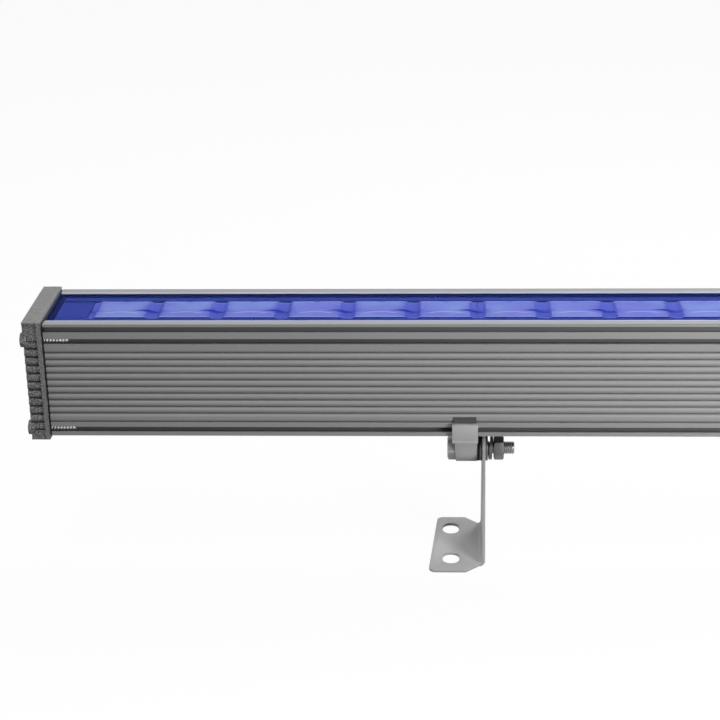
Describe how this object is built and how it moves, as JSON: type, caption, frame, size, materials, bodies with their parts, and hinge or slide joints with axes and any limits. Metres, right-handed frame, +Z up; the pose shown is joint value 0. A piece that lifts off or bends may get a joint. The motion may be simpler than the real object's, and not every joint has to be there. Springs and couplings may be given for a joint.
{
  "type": "outdoor wall washer light",
  "caption": "Long ribbed aluminium wall washer light with a row of lenses under glass, cast end caps, and two sliding, tilting feet.",
  "frame": {"origin": "centre of the whole light's box, cable gland included, on the plane the two feet stand on", "axes": "+X along the light towards the end with the cable gland, +Y across it towards the back, +Z up, the way the light shines"},
  "size_m": [1.0236, 0.07, 0.1614],
  "materials": {
    "housing": "powder coated grey, satin, faint lines along its length",
    "glass": "clear toughened, polished",
    "seal": "black silicone, matt",
    "lens": "clear moulded plastic that looks blue, glossy",
    "carrier": "dark blue moulding, satin",
    "lamp_board": "white solder mask, satin",
    "lamp": "yellow phosphor under a clear dome",
    "board_screw": "zinc plated",
    "driver_board": "green laminate, satin",
    "ferrite": "sintered, matt",
    "winding": "enamelled copper wire, glossy",
    "capacitor": "shrink sleeve, glossy",
    "choke": "enamelled copper wire, glossy",
    "terminal": "moulded nylon, satin",
    "lead": "silicone insulation, satin",
    "sheet": "fish paper, matt",
    "cap": "die cast and powder coated grey, fine grain",
    "gasket": "black silicone, matt",
    "cap_screw": "stainless, darkened in the slots",
    "gland": "black nylon, satin",
    "gland_rubber": "black rubber, matt",
    "clamp": "die cast, fine blasted",
    "pad": "black rubber, matt",
    "bolt": "stainless, satin",
    "washer": "stainless, satin",
    "spring": "spring steel, satin",
    "nut": "stainless, satin",
    "foot": "stainless sheet, satin"
  },
  "bodies": {
    "light": {"housing": "housing", "glass": "glass", "glass_seal": "seal", "lens_strips": "lens", "lens_carrier": "carrier", "lamp_board": "lamp_board", "lamps": "lamp", "board_screws": "board_screw", "driver_board": "driver_board", "transformer_core": "ferrite", "transformer_winding": "winding", "driver_capacitors": "capacitor", "driver_choke": "choke", "terminal_block": "terminal", "output_leads": "lead", "insulating_sheet": "sheet", "left_cap": "cap", "right_cap": "cap", "left_gasket": "gasket", "right_gasket": "gasket", "left_cap_screws": "cap_screw", "right_cap_screws": "cap_screw", "gland_body": "gland", "gland_washer": "gland_rubber", "gland_locknut": "gland", "gland_seal": "gland_rubber", "gland_dome_nut": "gland"},
    "left_mount": {"left_clamp": "clamp", "left_clamp_pads": "pad", "left_bolt": "bolt", "left_friction_washer": "pad", "left_inner_washer": "washer", "left_outer_washer": "washer", "left_spring_washer": "spring", "left_nut": "nut"},
    "left_stand": {"left_foot": "foot"},
    "right_mount": {"right_clamp": "clamp", "right_clamp_pads": "pad", "right_bolt": "bolt", "right_friction_washer": "pad", "right_inner_washer": "washer", "right_outer_washer": "washer", "right_spring_washer": "spring", "right_nut": "nut"},
    "right_stand": {"right_foot": "foot"}
  },
  "joints": [
    {"name": "left_clamp_slide", "type": "slide", "parent": "light", "child": "left_mount", "axis": [1, 0, 0], "range_m": [-0.19, 0.19]},
    {"name": "left_foot_tilt", "type": "hinge", "parent": "left_mount", "child": "left_stand", "pos_m": [-0.24395, 0, 0.0676], "axis": [1, 0, 0], "range_deg": [-90, 90]},
    {"name": "right_clamp_slide", "type": "slide", "parent": "light", "child": "right_mount", "axis": [1, 0, 0], "range_m": [-0.19, 0.19]},
    {"name": "right_foot_tilt", "type": "hinge", "parent": "right_mount", "child": "right_stand", "pos_m": [0.22405, 0, 0.0676], "axis": [1, 0, 0], "range_deg": [-90, 90]}
  ]
}
